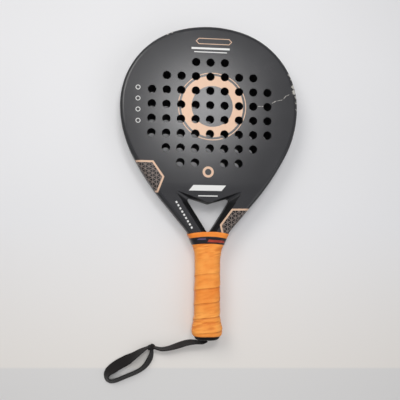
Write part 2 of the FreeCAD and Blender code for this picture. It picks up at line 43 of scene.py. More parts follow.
print("frame loaded", len(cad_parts), "nodes")


def linearColour(hexText):
    # sRGB to linear: c / 12.92 below 0.04045, else ((c + 0.055) / 1.055) to the power 2.4
    parts = [int(hexText[i:i + 2], 16) / 255 for i in (1, 3, 5)]
    return [c / 12.92 if c <= 0.04045 else ((c + 0.055) / 1.055) ** 2.4 for c in parts] + [1.0]


def addNode(tree, kind, inputs=None, output=0, **settings):
    # one shader node with its settings; an input is a value or another node's output
    node = tree.nodes.new("ShaderNode" + kind)
    for name, value in settings.items():
        setattr(node, name, value)
    for key, value in (inputs or {}).items():
        if isinstance(value, bpy.types.NodeSocket):
            tree.links.new(value, node.inputs[key])
        else:
            node.inputs[key].default_value = value
    return node.outputs[output]


def painted(tree, mask, under, colour):
    # a colour laid over another where the mask is 1
    return addNode(tree, "Mix", {0: mask, 6: under, 7: linearColour(colour)}, output=2,
                   data_type="RGBA")


def newMaterial(name, colour, roughness, **sockets):
    # a Principled material whose constants sit on the shader's own sockets
    material = bpy.data.materials.new(name)
    material.use_nodes = True
    tree = material.node_tree
    shader = tree.nodes["Principled BSDF"]
    shader.inputs["Base Color"].default_value = linearColour(colour)
    shader.inputs["Roughness"].default_value = roughness
    for key, value in sockets.items():
        shader.inputs[key.replace("_", " ")].default_value = value
    return material, tree, shader


def inMillimetres(tree, spot):
    # a place in metres times 1000
    return addNode(tree, "VectorMath", {0: spot, 3: 1 / mm}, operation="SCALE")


def objectMillimetres(tree):
    # object coordinates, the fourth output of Texture Coordinate, in millimetres
    return inMillimetres(tree, addNode(tree, "TexCoord", output=3))


def addBump(tree, shader, height, distance, strength=1.0):
    # bump of a height field, its distance in millimetres
    normal = addNode(tree, "Bump", {"Strength": strength, "Distance": distance * mm, "Height": height})
    tree.links.new(normal, shader.inputs["Normal"])


def gridPiece(name, points, material, closeRows=False, closeCols=False, uv=None,
              values=None, capEnds=False):
    # a surface from a rows x columns grid of points in metres: a quad between each four neighbours,
    # joined round the rows or the columns if asked, with one polygon over each open end if asked
    rows, cols = points.shape[:2]
    down = np.arange(rows if closeRows else rows - 1)
    along = np.arange(cols if closeCols else cols - 1)
    i, j = np.meshgrid(down, along, indexing="ij")
    nextI, nextJ = (i + 1) % rows, (j + 1) % cols
    quads = np.stack([i * cols + j, i * cols + nextJ, nextI * cols + nextJ, nextI * cols + j], -1)
    quads = quads.reshape(-1, 4)
    faces = quads.tolist()
    if capEnds:
        faces += [list(range(cols - 1, -1, -1)), list(range((rows - 1) * cols, rows * cols))]
    mesh = bpy.data.meshes.new(name)
    mesh.from_pydata(points.reshape(-1, 3).tolist(), [], faces)
    mesh.polygons.foreach_set("use_smooth", np.ones(len(mesh.polygons), dtype=bool))
    if uv is not None:
        layer = mesh.uv_layers.new(name="weave")
        corner = np.stack([np.stack([i, j], -1), np.stack([i, j + 1], -1),
                           np.stack([i + 1, j + 1], -1), np.stack([i + 1, j], -1)], 2).reshape(-1, 2)
        flat = np.stack([uv[0][corner[:, 0]], uv[1][corner[:, 1]]], -1)
        spare = len(mesh.loops) - len(flat)
        flat = np.concatenate([flat, np.zeros((spare, 2))])
        layer.data.foreach_set("uv", flat.ravel())
    for key, field in (values or {}).items():
        attribute = mesh.attributes.new(key, "FLOAT", "POINT")
        attribute.data.foreach_set("value", np.ascontiguousarray(field, dtype=np.float32).ravel())
    mesh.materials.append(material)
    mesh.update()
    piece = bpy.data.objects.new(name, mesh)
    bpy.context.scene.collection.objects.link(piece)
    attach(piece, "root")
    return piece


def softNoise(seed, u, v, wrapU=0):
    # value noise: seeded numbers on a unit grid, blended by 3t^2 - 2t^3 in both directions
    table = np.random.default_rng(seed).uniform(-1, 1, (noiseSize, noiseSize))
    iu, iv = np.floor(u).astype(int), np.floor(v).astype(int)
    fu, fv = u - iu, v - iv
    fu, fv = fu * fu * (3 - 2 * fu), fv * fv * (3 - 2 * fv)
    period = wrapU or noiseSize
    a, b = iu % period, (iu + 1) % period
    c, d = iv % noiseSize, (iv + 1) % noiseSize
    low = table[a, c] * (1 - fu) + table[b, c] * fu
    high = table[a, d] * (1 - fu) + table[b, d] * fu
    return low * (1 - fv) + high * fv


# camera
cameraSettings = dict(place=(-0.0761, -0.07505, 0.7461), turn=(3.73979, -5.10070, 0.59951), lens=45.0,
                      sensor=36.0)
cameraData = bpy.data.cameras.new("mainCamera")
cameraData.lens = cameraSettings["lens"]
cameraData.sensor_width = cameraSettings["sensor"]
camera = bpy.data.objects.new("mainCamera", cameraData)
camera.location = cameraSettings["place"]
camera.rotation_euler = [math.radians(angle) for angle in cameraSettings["turn"]]
bpy.context.scene.collection.objects.link(camera)
bpy.context.scene.camera = camera


# wrist strap: a ribbon of flat webbing, folded narrower where it leaves the slot and in its knot
strapSettings = dict(width=15.0, thickness=1.6, across=28, edgeAcross=0.55, edgeThrough=0.5,
                     gathered=0.7, selvedge=0.12, selvedgeFrom=0.8, sag=0.10, resolution=16, smoothing=6)
# control points of its middle line (m), its lean from flat (degrees), its share of the full width
strapRoute = [
    (-0.0010, -0.2282, 0.0190, 160, 0.50), (-0.0032, -0.2308, 0.0187, 118, 0.50),
    (-0.0076, -0.2323, 0.0179, 104, 0.62), (-0.0148, -0.2319, 0.0162, 104, 0.85),
    (-0.0250, -0.2326, 0.0132, 110, 0.97), (-0.0355, -0.2359, 0.0104, 112, 1.00),
    (-0.0460, -0.2398, 0.0084, 108, 1.00), (-0.0565, -0.2428, 0.0077, 101, 1.00),
    (-0.0650, -0.2435, 0.0076, 99, 0.92), (-0.0730, -0.2414, 0.0074, 98, 0.68),
    (-0.0790, -0.2400, 0.0072, 98, 0.55), (-0.0850, -0.2408, 0.0072, 99, 0.62),
    (-0.0946, -0.2462, 0.0077, 112, 0.94), (-0.1054, -0.2539, 0.0066, 126, 1.00),
    (-0.1154, -0.2599, 0.0038, 160, 1.00), (-0.1256, -0.2650, 0.0029, 166, 1.00),
    (-0.1354, -0.2712, 0.0046, 151, 1.00), (-0.1414, -0.2762, 0.0066, 128, 1.00),
    (-0.1430, -0.2818, 0.0072, 118, 1.00), (-0.1402, -0.2870, 0.0071, 120, 1.00),
    (-0.1344, -0.2884, 0.0069, 123, 1.00), (-0.1246, -0.2853, 0.0069, 124, 1.00),
    (-0.1136, -0.2807, 0.0069, 124, 1.00), (-0.1029, -0.2766, 0.0069, 124, 1.00),
    (-0.0930, -0.2718, 0.0069, 124, 1.00), (-0.0863, -0.2656, 0.0068, 126, 1.00),
    (-0.0816, -0.2580, 0.0067, 127, 1.00), (-0.0791, -0.2506, 0.0069, 120, 0.90),
    (-0.0785, -0.2444, 0.0070, 112, 0.62), (-0.0788, -0.2412, 0.0070, 106, 0.55),
]


def splineLine(name, points, resolution):
    # the NURBS curve of the control points, read as a line of points
    curve = bpy.data.curves.new(name, "CURVE")
    curve.dimensions = "3D"
    curve.resolution_u = resolution
    spline = curve.splines.new("NURBS")
    spline.points.add(len(points) - 1)
    for spot, point in zip(spline.points, points):
        spot.co = (*point, 1.0)
    spline.order_u = 3
    spline.use_endpoint_u = True
    holder = bpy.data.objects.new(name, curve)
    mesh = bpy.data.meshes.new_from_object(holder)
    line = np.empty(len(mesh.vertices) * 3)
    mesh.vertices.foreach_get("co", line)
    bpy.data.objects.remove(holder)
    bpy.data.meshes.remove(mesh)
    bpy.data.curves.remove(curve)
    return line.reshape(-1, 3)


def strapSurface(line, lean, share, settings):
    # ribbon: at each point of the line a flat rounded section, turned by the lean about the line:
    # half width * sgn(cos) |cos|^edgeAcross across, half thickness * sgn(sin) |sin|^edgeThrough through;
    # thicker where it's narrowed and along its selvedges, and dished by sag * cos(pi * across)
    ahead = np.gradient(line, axis=0)
    ahead /= np.linalg.norm(ahead, axis=1)[:, None]
    level = np.cross(ahead, (0.0, 0.0, 1.0))
    level /= np.linalg.norm(level, axis=1)[:, None]
    upward = np.cross(level, ahead)
    wide = level * np.cos(lean)[:, None] + upward * np.sin(lean)[:, None]
    thick = np.cross(wide, ahead)
    angle = np.arange(settings["across"]) / settings["across"] * 2 * np.pi
    across = np.sign(np.cos(angle)) * np.abs(np.cos(angle)) ** settings["edgeAcross"]
    through = np.sign(np.sin(angle)) * np.abs(np.sin(angle)) ** settings["edgeThrough"]
    halfWidth = settings["width"] / 2 * mm * share
    halfThick = settings["thickness"] / 2 * mm * (1 + settings["gathered"] * (1 - share))
    selvedge = 1 + settings["selvedge"] * (np.abs(across) > settings["selvedgeFrom"])
    sag = settings["sag"] * mm * np.cos(across * np.pi)
    return (line[:, None] + wide[:, None] * (across[None] * halfWidth[:, None])[..., None]
            + thick[:, None] * ((through * selvedge)[None] * halfThick[:, None]
                                + sag[None] * share[:, None])[..., None])


def smoothed(values, reach):
    # running mean over the neighbours on both sides, weighted by a raised cosine
    weights = np.hanning(2 * reach + 1)
    return np.convolve(np.pad(values, reach, "edge"), weights / weights.sum(), "valid")


# each control point of a spline of order 3 acts in the middle of its span
route = np.array(strapRoute)
strapLine = splineLine("strapLine", route[:, :3].tolist(), strapSettings["resolution"])
spans = len(route) - 2
stations = np.clip(np.arange(len(route)) - 0.5, 0, spans)
alongSpans = np.linspace(0, spans, len(strapLine))
strapLean = smoothed(np.radians(np.interp(alongSpans, stations, route[:, 3])), strapSettings["smoothing"])
strapShare = smoothed(np.interp(alongSpans, stations, route[:, 4]), strapSettings["smoothing"])


def webbingMaterial():
    # polyester webbing, woven: matt black, a fine rib across it and a soft sheen on the yarns
    material, tree, shader = newMaterial("wovenPolyesterWebbing", "#1a1616", 0.8,
                                         Sheen_Weight=0.1, Sheen_Roughness=0.5,
                                         Specular_IOR_Level=0.35)
    yarn = inMillimetres(tree, addNode(tree, "UVMap", uv_map="weave"))
    ribs = addNode(tree, "TexWave", {"Vector": yarn, "Scale": 0.30, "Distortion": 0.6,
                                     "Detail": 1.0, "Detail Scale": 2.0}, output=1,
                   bands_direction="DIAGONAL", wave_profile="SIN")     # twill, 1.1 mm apart
    ends = addNode(tree, "TexWave", {"Vector": yarn, "Scale": 0.42, "Distortion": 0.4},
                   output=1, bands_direction="Y", wave_profile="SIN")
    both = addNode(tree, "Math", {0: ribs, 1: ends}, operation="MULTIPLY")
    fuzz = addNode(tree, "TexNoise", {"Vector": yarn, "Scale": 0.9, "Detail": 3.0})
    shade = addNode(tree, "Math", {0: both, 1: fuzz, 2: 0.1}, operation="MULTIPLY_ADD")
    colour = painted(tree, shade, linearColour("#0f0c0c"), "#241e1e")
    tree.links.new(colour, shader.inputs["Base Color"])
    addBump(tree, shader, both, 0.18, 0.8)
    return material


webbing = webbingMaterial()
strapGirth = 2 * strapSettings["width"] + strapSettings["thickness"] + 0.4      # mm round the section
strapAcross = np.linspace(0, strapGirth * mm, strapSettings["across"] + 1)
strapAlong = np.concatenate([[0], np.cumsum(np.linalg.norm(np.diff(strapLine, axis=0), axis=1))])
strap = gridPiece("wristStrap", strapSurface(strapLine, strapLean, strapShare, strapSettings), webbing,
                  closeCols=True, capEnds=True, uv=(strapAlong, strapAcross))
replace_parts(strap, "strap_lead", "strap_loop")


# the strap's knot: an overhand turn of the same webbing, bunched (mm)
knotSettings = dict(centre=(-79.0, -240.6, 7.4), spread=(1.5, 1.1, 2.7), turn=24.0, halfWide=2.7,
                    halfThick=1.15, steps=190, across=20, edgeAcross=0.6, edgeThrough=0.7, folds=5,
                    foldDepth=0.12, length=70.0, girth=18.0)


def knotSurface(settings):
    # trefoil line (sin t + 2 sin 2t, cos t - 2 cos 2t, -sin 3t) with a flat rounded section, whose
    # width swells by foldDepth * sin(folds * t)
    t = np.arange(settings["steps"]) / settings["steps"] * 2 * np.pi
    line = np.stack([np.sin(t) + 2 * np.sin(2 * t), np.cos(t) - 2 * np.cos(2 * t), -np.sin(3 * t)], 1)
    line = line * np.array(settings["spread"])
    turn = math.radians(settings["turn"])
    line[:, :2] = line[:, :2] @ np.array([[math.cos(turn), math.sin(turn)],
                                          [-math.sin(turn), math.cos(turn)]])
    ahead = np.roll(line, -1, 0) - np.roll(line, 1, 0)
    ahead /= np.linalg.norm(ahead, axis=1)[:, None]
    outward = line - ahead * (line * ahead).sum(1)[:, None]
    outward /= np.linalg.norm(outward, axis=1)[:, None]
    wide = np.cross(ahead, outward)
    angle = np.arange(settings["across"]) / settings["across"] * 2 * np.pi
    across = np.sign(np.cos(angle)) * np.abs(np.cos(angle)) ** settings["edgeAcross"]
    through = np.sign(np.sin(angle)) * np.abs(np.sin(angle)) ** settings["edgeThrough"]
    across, through = across * settings["halfWide"], through * settings["halfThick"]
    fold = 1 + settings["foldDepth"] * np.sin(settings["folds"] * t)
    grid = (line[:, None] + wide[:, None] * (across[None] * fold[:, None])[..., None]
            + outward[:, None] * through[None, :, None])
    return (grid + np.array(settings["centre"])) * mm


knotUv = (np.linspace(0, knotSettings["length"] * mm, knotSettings["steps"] + 1),
          np.linspace(0, knotSettings["girth"] * mm, knotSettings["across"] + 1))
knot = gridPiece("strapKnot", knotSurface(knotSettings), webbing, closeRows=True,
                 closeCols=True, uv=knotUv)
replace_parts(knot, "strap_knot")
print("wrist strap made")


def separated(tree, vector):
    # the three parts of a vector
    return addNode(tree, "SeparateXYZ", {0: vector}).node.outputs


def flatSpot(tree, spot):
    # the place's parts, and (x, y, 1), so that one dot product gives the distance from a line
    axes = separated(tree, spot)
    return axes, addNode(tree, "CombineXYZ", {0: axes[0], 1: axes[1], 2: 1.0})


def polygonDistance(tree, flat, corners):
    # signed distance from a convex polygon, its corners anticlockwise: the largest of its sides' own
    result = None
    for (ax, ay), (bx, by) in zip(corners, corners[1:] + corners[:1]):
        length = math.hypot(bx - ax, by - ay)
        nx, ny = (by - ay) / length, (ax - bx) / length
        side = addNode(tree, "VectorMath", {0: flat, 1: (nx, ny, -(nx * ax + ny * ay))}, output=1,
                       operation="DOT_PRODUCT")
        result = side if result is None else addNode(tree, "Math", {0: result, 1: side},
                                                     operation="MAXIMUM")
    return result


def circleDistance(tree, flat, centre, radius):
    # distance from a circle: length of the offset from its centre, less the radius
    away = addNode(tree, "VectorMath", {0: flat, 1: (centre[0], centre[1], 1.0)}, output=1,
                   operation="DISTANCE")
    return addNode(tree, "Math", {0: away, 1: radius}, operation="SUBTRACT")


def strokeDistance(tree, distance, width):
    # a line of a given width just inside a shape's edge: |d + width / 2| - width / 2
    middle = addNode(tree, "Math", {0: distance, 1: width / 2}, operation="ADD")
    middle = addNode(tree, "Math", {0: middle}, operation="ABSOLUTE")
    return addNode(tree, "Math", {0: middle, 1: width / 2}, operation="SUBTRACT")


def inked(tree, distance, edge=0.25):
    # 1 inside a shape and 0 outside, with an edge as soft as screen print
    return addNode(tree, "Math", {0: distance, 1: -1 / edge, 2: 0.5}, operation="MULTIPLY_ADD",
                   use_clamp=True)


def either(tree, masks):
    # the largest of several masks
    result = masks[0]
    for mask in masks[1:]:
        result = addNode(tree, "Math", {0: result, 1: mask}, operation="MAXIMUM")
    return result


# what is printed on the front face, above frontLevel (mm)
printSettings = dict(
    frontLevel=27.0,
    ringCentre=(3.0, 108.0), ringRadius=45.0, ringWidth=15.0, fineRadius=49.5, fineWidth=1.2,
    smallRing=(-2.0, 12.5), smallRadius=8.0, smallWidth=3.4,
    leftPatch=[(-150.0, 27.4), (-95.0, -18.4), (-73.0, -18.0), (-64.5, 4.7), (-80.5, 27.5)],
    rightPatch=[(32.9, -39.6), (15.7, -62.9), (22.4, -92.0), (90.0, -92.0), (90.0, -38.6)],
    patchStroke=2.7, latticePitch=5.4, latticeLine=0.12, latticeEdge=12.0, latticeShift=40.0,
    plate=[(-22.0, 204.0), (-17.5, 199.5), (27.0, 199.5), (31.5, 204.0), (27.0, 208.5), (-17.5, 208.5)],
    plateStroke=1.0,
    upperBars=[[(-28.0, 191.8), (28.0, 191.8), (28.0, 194.6), (-28.0, 194.6)],
               [(-24.0, 187.2), (24.0, 187.2), (24.0, 188.5), (-24.0, 188.5)]],
    lowerBar=[(-29.5, -14.5), (17.5, -14.5), (24.0, -6.5), (-23.0, -6.5)],
    lowerLine=[(-16.0, -22.6), (12.0, -22.6), (12.0, -21.2), (-16.0, -21.2)],
    sideRings=[(-104.0, 132.6), (-103.8, 116.6), (-103.5, 100.7), (-103.2, 84.4)],
    sideRadius=3.4, sideStroke=0.9,
    armStart=(-47.5, -30.0), armEnd=(-22.5, -70.5), armWidth=2.5, armDashes=9, armInk=0.55)
# corners of the glossy bevels beside the throat, and a reach past their other ends (mm)
bevelSettings = dict(tip=(50.6, -12.8), point=(0.0, -30.6), foot=(8.6, -76.0), reach=400.0)
# chips with their radii, and the line of a hairline crack (mm)
wearSettings = dict(
    chips=[((116.8, 158.5, 36.0), 1.8), ((119.8, 151.5, 36.0), 1.5), ((122.6, 141.5, 36.0), 3.3),
           ((124.0, 133.0, 36.4), 3.2), ((126.6, 126.0, 36.0), 1.8), ((127.2, 117.5, 35.6), 2.0),
           ((127.7, 107.0, 35.4), 1.5), ((-62.8, 212.6, 36.4), 1.3), ((-56.0, 215.5, 36.6), 1.5)],
    crack=[(122.0, 131.8), (111.2, 126.6), (107.1, 121.2), (96.6, 118.8), (89.3, 114.4), (77.5, 110.4),
           (69.5, 110.0)],
    chipRagged=9.0, crackRagged=3.0, crackHalf=0.3)


def latticeMask(tree, flat, patches):
    # 1 on three families of parallel lines a third of a turn apart, inside the patches
    s = printSettings
    families = []
    for turn in (0.0, math.pi / 3, 2 * math.pi / 3):
        across = (math.cos(turn) / s["latticePitch"], math.sin(turn) / s["latticePitch"], s["latticeShift"])
        way = addNode(tree, "VectorMath", {0: flat, 1: across}, output=1, operation="DOT_PRODUCT")
        share = addNode(tree, "Math", {0: way}, operation="FRACT")
        share = addNode(tree, "Math", {0: share, 1: 0.5}, operation="SUBTRACT")
        share = addNode(tree, "Math", {0: share}, operation="ABSOLUTE")
        families.append(addNode(tree, "Math", {0: share, 1: s["latticeEdge"],
                                               2: -s["latticeEdge"] * (0.5 - s["latticeLine"])},
                                operation="MULTIPLY_ADD", use_clamp=True))
    inside = either(tree, [inked(tree, patch) for patch in patches])
    return inside, addNode(tree, "Math", {0: either(tree, families), 1: inside}, operation="MULTIPLY")


def dashMask(tree, flat):
    # 1 on a row of dashes down the left arm: each takes up a share of its step along the row
    s = printSettings
    (ax, ay), (bx, by) = s["armStart"], s["armEnd"]
    length = math.hypot(bx - ax, by - ay)
    step = length / s["armDashes"]
    ux, uy = (bx - ax) / length, (by - ay) / length
    along = addNode(tree, "VectorMath", {0: flat, 1: (ux, uy, -(ux * ax + uy * ay))}, output=1,
                    operation="DOT_PRODUCT")
    aside = addNode(tree, "VectorMath", {0: flat, 1: (-uy, ux, uy * ax - ux * ay)}, output=1,
                    operation="DOT_PRODUCT")
    dash = addNode(tree, "Math", {0: along, 1: step}, operation="MODULO")
    dash = addNode(tree, "Math", {0: dash, 1: step * s["armInk"]}, operation="LESS_THAN")
    near = addNode(tree, "Math", {0: aside}, operation="ABSOLUTE")
    near = addNode(tree, "Math", {0: near, 1: s["armWidth"] / 2}, operation="LESS_THAN")
    started = addNode(tree, "Math", {0: along, 1: 0.0}, operation="GREATER_THAN")
    ended = addNode(tree, "Math", {0: along, 1: length}, operation="LESS_THAN")
    for mask in (near, started, ended):
        dash = addNode(tree, "Math", {0: dash, 1: mask}, operation="MULTIPLY")
    return dash


def wearMask(tree, spot, flat):
    # 1 on chips, balls whose distance is shifted by noise, and on a crack of thin ragged slabs
    s = wearSettings
    ragged = addNode(tree, "TexNoise", {"Vector": spot, "Scale": 0.35, "Detail": 5.0, "Roughness": 0.7})
    masks = []
    for centre, radius in s["chips"]:
        away = addNode(tree, "VectorMath", {0: spot, 1: centre}, output=1, operation="DISTANCE")
        away = addNode(tree, "Math", {0: ragged, 1: s["chipRagged"], 2: away}, operation="MULTIPLY_ADD")
        away = addNode(tree, "Math", {0: away, 1: radius + s["chipRagged"] / 2}, operation="SUBTRACT")
        masks.append(inked(tree, away, 0.6))
    for (ax, ay), (bx, by) in zip(s["crack"], s["crack"][1:]):
        length = math.hypot(bx - ax, by - ay)
        nx, ny = (by - ay) / length * s["crackHalf"], (ax - bx) / length * s["crackHalf"]
        corners = [(ax + nx, ay + ny), (bx + nx, by + ny), (bx - nx, by - ny), (ax - nx, ay - ny)]
        edge = polygonDistance(tree, flat, corners)
        edge = addNode(tree, "Math", {0: ragged, 1: s["crackRagged"], 2: edge}, operation="MULTIPLY_ADD")
        edge = addNode(tree, "Math", {0: edge, 1: s["crackRagged"] * 0.45}, operation="SUBTRACT")
        masks.append(inked(tree, edge, 0.5))
    return either(tree, masks)


def glossMask(tree, axes):
    # 1 on the bevels: below the wing's upper line and inside the arm's line, alike on both sides
    s = bevelSettings
    absX = addNode(tree, "Math", {0: axes[0]}, operation="ABSOLUTE")
    halfFlat = addNode(tree, "CombineXYZ", {0: absX, 1: axes[1], 2: 1.0})
    corners = [s["tip"], s["point"], (-s["reach"], s["point"][1]), (-s["reach"], s["foot"][1]), s["foot"]]
    return inked(tree, polygonDistance(tree, halfFlat, corners), 0.3)


def lacquerMaterial(name):
    # satin two-pack lacquer on moulded carbon laminate: charcoal, a soft sheen and faint orange peel;
    # the bevels beside the throat are left glossy, and the front is printed in copper and white ink
    material, tree, shader = newMaterial(name, "#2f2f32", 0.24, Specular_IOR_Level=0.5)
    spot = objectMillimetres(tree)
    axes, flat = flatSpot(tree, spot)
    s = printSettings
    cloud = addNode(tree, "TexNoise", {"Vector": spot, "Scale": 0.018, "Detail": 4.0})
    grain = addNode(tree, "TexNoise", {"Vector": spot, "Scale": 1.6, "Detail": 3.0})
    peel = addNode(tree, "TexNoise", {"Vector": spot, "Scale": 0.55, "Detail": 2.0})
    base = painted(tree, cloud, linearColour("#2a2a2c"), "#343437")
    # the rim's rounding, where the surface leans over, is duller than the flats and painted darker: painted
    # shade on the rounded edge
    slope = separated(tree, addNode(tree, "NewGeometry", output=1))[2]
    level = addNode(tree, "Math", {0: slope}, operation="ABSOLUTE")
    rim = addNode(tree, "Math", {0: level, 1: -3.0, 2: 2.94}, operation="MULTIPLY_ADD", use_clamp=True)
    # painted shade: the rim's colour darkened where the surface leans over
    base = painted(tree, rim, base, "#1c1c1e")
    gloss = glossMask(tree, axes)
    base = painted(tree, gloss, base, "#0c0c0d")
    # print
    edges = [(circleDistance(tree, flat, s["ringCentre"], s["ringRadius"]), s["ringWidth"]),
             (circleDistance(tree, flat, s["ringCentre"], s["fineRadius"]), s["fineWidth"]),
             (circleDistance(tree, flat, s["smallRing"], s["smallRadius"]), s["smallWidth"]),
             (polygonDistance(tree, flat, s["plate"]), s["plateStroke"])]
    patches = [polygonDistance(tree, flat, s[key]) for key in ("leftPatch", "rightPatch")]
    edges += [(patch, s["patchStroke"]) for patch in patches]
    copper = [inked(tree, strokeDistance(tree, edge, width)) for edge, width in edges]
    white = [inked(tree, polygonDistance(tree, flat, bar))
             for bar in s["upperBars"] + [s["lowerBar"], s["lowerLine"]]]
    for centre in s["sideRings"]:
        edge = circleDistance(tree, flat, centre, s["sideRadius"])
        white.append(inked(tree, strokeDistance(tree, edge, s["sideStroke"])))
    white.append(dashMask(tree, flat))
    ground, lattice = latticeMask(tree, flat, patches)
    front = addNode(tree, "Math", {0: axes[2], 1: s["frontLevel"]}, operation="GREATER_THAN")
    masks = (either(tree, copper), either(tree, white), ground, lattice, wearMask(tree, spot, flat))
    copperInk, whiteInk, ground, lattice, worn = [
        addNode(tree, "Math", {0: mask, 1: front}, operation="MULTIPLY") for mask in masks]
    for mask, colour in ((ground, "#141213"), (lattice, "#7c706a"), (whiteInk, "#dcdcda"),
                         (copperInk, "#d2b096"), (worn, "#bdbab3")):
        base = painted(tree, mask, base, colour)
    metal = addNode(tree, "Math", {0: copperInk, 1: 0.1}, operation="MULTIPLY")
    tree.links.new(metal, shader.inputs["Metallic"])
    # roughness: satin with faint smears, smooth on the bevels, dull on the rim and the ink
    ink = addNode(tree, "Math", {0: copperInk, 1: whiteInk}, operation="MAXIMUM")
    rough = addNode(tree, "Math", {0: cloud, 1: 0.08, 2: 0.19}, operation="MULTIPLY_ADD")
    rough = addNode(tree, "Math", {0: grain, 1: 0.05, 2: rough}, operation="MULTIPLY_ADD")
    for mask, value in ((gloss, 0.10), (rim, 0.5), (ink, 0.42)):
        rough = addNode(tree, "Mix", {0: mask, 2: rough, 3: value}, data_type="FLOAT")
    tree.links.new(rough, shader.inputs["Roughness"])
    tree.links.new(base, shader.inputs["Base Color"])
    addBump(tree, shader, peel, 0.02, 0.35)
    return material


def foamMaterial():
    # closed-cell EVA, moulded and bored: black, matt, with small cells
    material, tree, shader = newMaterial("boredEvaFoam", "#141415", 0.85, Specular_IOR_Level=0.3)
    spot = objectMillimetres(tree)
    cells = addNode(tree, "TexVoronoi", {"Vector": spot, "Scale": 1.4})
    colour = painted(tree, cells, linearColour("#0d0d0e"), "#202022")
    tree.links.new(colour, shader.inputs["Base Color"])
    addBump(tree, shader, cells, 0.15, 0.6)
    return material


def capMaterial():
    # thermoplastic butt cap, injection moulded: black with a fine spark-eroded grain
    material, tree, shader = newMaterial("mouldedNylonCap", "#110e0d", 0.55, Specular_IOR_Level=0.25)
    spot = objectMillimetres(tree)
    grain = addNode(tree, "TexNoise", {"Vector": spot, "Scale": 2.2, "Detail": 4.0})
    rough = addNode(tree, "Math", {0: grain, 1: 0.2, 2: 0.45}, operation="MULTIPLY_ADD")
    tree.links.new(rough, shader.inputs["Roughness"])
    addBump(tree, shader, grain, 0.06, 0.5)
    return material


def steelMaterial():
    # bright drawn steel bar: fine lines along its length
    material, tree, shader = newMaterial("drawnSteel", "#b9babd", 0.28, Metallic=1.0)
    spot = objectMillimetres(tree)
    stretched = addNode(tree, "Mapping", {0: spot, 3: (0.05, 3.0, 3.0)})
    lines = addNode(tree, "TexNoise", {"Vector": stretched, "Scale": 1.5, "Detail": 3.0})
    rough = addNode(tree, "Math", {0: lines, 1: 0.25, 2: 0.16}, operation="MULTIPLY_ADD")
    tree.links.new(rough, shader.inputs["Roughness"])
    return material


def baseGripMaterial():
    # cushioned polyurethane base grip: black, matt, slightly tacky
    material, tree, shader = newMaterial("cushionedPolyurethane", "#1c1b1b", 0.6)
    spot = objectMillimetres(tree)
    pores = addNode(tree, "TexVoronoi", {"Vector": spot, "Scale": 0.7})
    addBump(tree, shader, pores, 0.2, 0.5)
    colour = painted(tree, pores, linearColour("#151414"), "#262525")
    tree.links.new(colour, shader.inputs["Base Color"])
    return material


def overgripMaterial():
    # thin polyurethane overgrip, worn: orange, a soft sheen, paler on the laps from rubbing and painted
    # highlight, and darker in the grooves from soiling and painted shade, with fine perforations
    material, tree, shader = newMaterial("polyurethaneOvergrip", "#f08e36", 0.55, Sheen_Weight=0.05,
                                         Sheen_Roughness=0.4, Specular_IOR_Level=0.28)
    spot = objectMillimetres(tree)
    groove = addNode(tree, "Attribute", output=2, attribute_name="groove")
    lap = addNode(tree, "Attribute", output=2, attribute_name="rubbedAndPaintedLight")
    stain = addNode(tree, "TexNoise", {"Vector": spot, "Scale": 0.07, "Detail": 4.0, "Roughness": 0.6})
    fine = addNode(tree, "TexNoise", {"Vector": spot, "Scale": 0.9, "Detail": 4.0})
    # tone: stains, and the laps' paleness, partly rubbed wear and partly painted highlight and crease
    # shading
    tone = addNode(tree, "Math", {0: stain, 1: 0.9, 2: lap}, operation="MULTIPLY_ADD")
    worn = painted(tree, tone, linearColour("#e9802b"), "#fdaf55")
    # grooves and crease hollows darkened: partly soiling, partly painted shade
    grooveDirtAndShade = addNode(tree, "Math", {0: groove, 1: 0.36}, operation="MULTIPLY")
    colour = painted(tree, grooveDirtAndShade, worn, "#9c4c1c")
    tree.links.new(colour, shader.inputs["Base Color"])
    rough = addNode(tree, "Math", {0: fine, 1: 0.25, 2: 0.42}, operation="MULTIPLY_ADD")
    tree.links.new(rough, shader.inputs["Roughness"])
    pores = addNode(tree, "TexVoronoi", {"Vector": spot, "Scale": 0.8})       # perforations, 1.2 mm apart
    height = addNode(tree, "Math", {0: pores, 1: 0.5, 2: fine}, operation="MULTIPLY_ADD")
    addBump(tree, shader, height, 0.12, 0.45)
    return material


def tapeMaterial():
    # PVC finishing tape, calendered: glossy black with a plain red printed flash and a violet patch, a
    # painted highlight for a glint on the gloss
    material, tree, shader = newMaterial("glossyPvcTape", "#141116", 0.34)
    spot = objectMillimetres(tree)
    axes, flat = flatSpot(tree, spot)
    front = addNode(tree, "Math", {0: axes[2], 1: 22.0}, operation="GREATER_THAN")
    stretched = addNode(tree, "Mapping", {0: spot, 3: (0.25, 1.2, 0.25)})
    streak = addNode(tree, "TexNoise", {"Vector": stretched, "Scale": 0.6, "Detail": 2.0})
    colour = painted(tree, streak, linearColour("#0c0a0c"), "#1c171f")
    # the red patch is print; the violet patch is a painted highlight, a glint on the glossy tape
    for corners, ink in (([(-2.0, -87.4), (23.0, -88.9), (22.2, -85.6), (0.0, -83.9)], "#c2422c"),
                         ([(-17.0, -84.6), (-4.0, -84.2), (-4.6, -81.8), (-15.0, -82.9)], "#6a5c86")):
        mask = inked(tree, polygonDistance(tree, flat, corners), 0.3)
        mask = addNode(tree, "Math", {0: mask, 1: front}, operation="MULTIPLY")
        ragged = addNode(tree, "Math", {0: streak, 1: 1.3}, operation="MULTIPLY", use_clamp=True)
        mask = addNode(tree, "Math", {0: mask, 1: ragged}, operation="MULTIPLY")
        colour = painted(tree, mask, colour, ink)
    tree.links.new(colour, shader.inputs["Base Color"])
    addBump(tree, shader, streak, 0.05, 0.4)
    return material


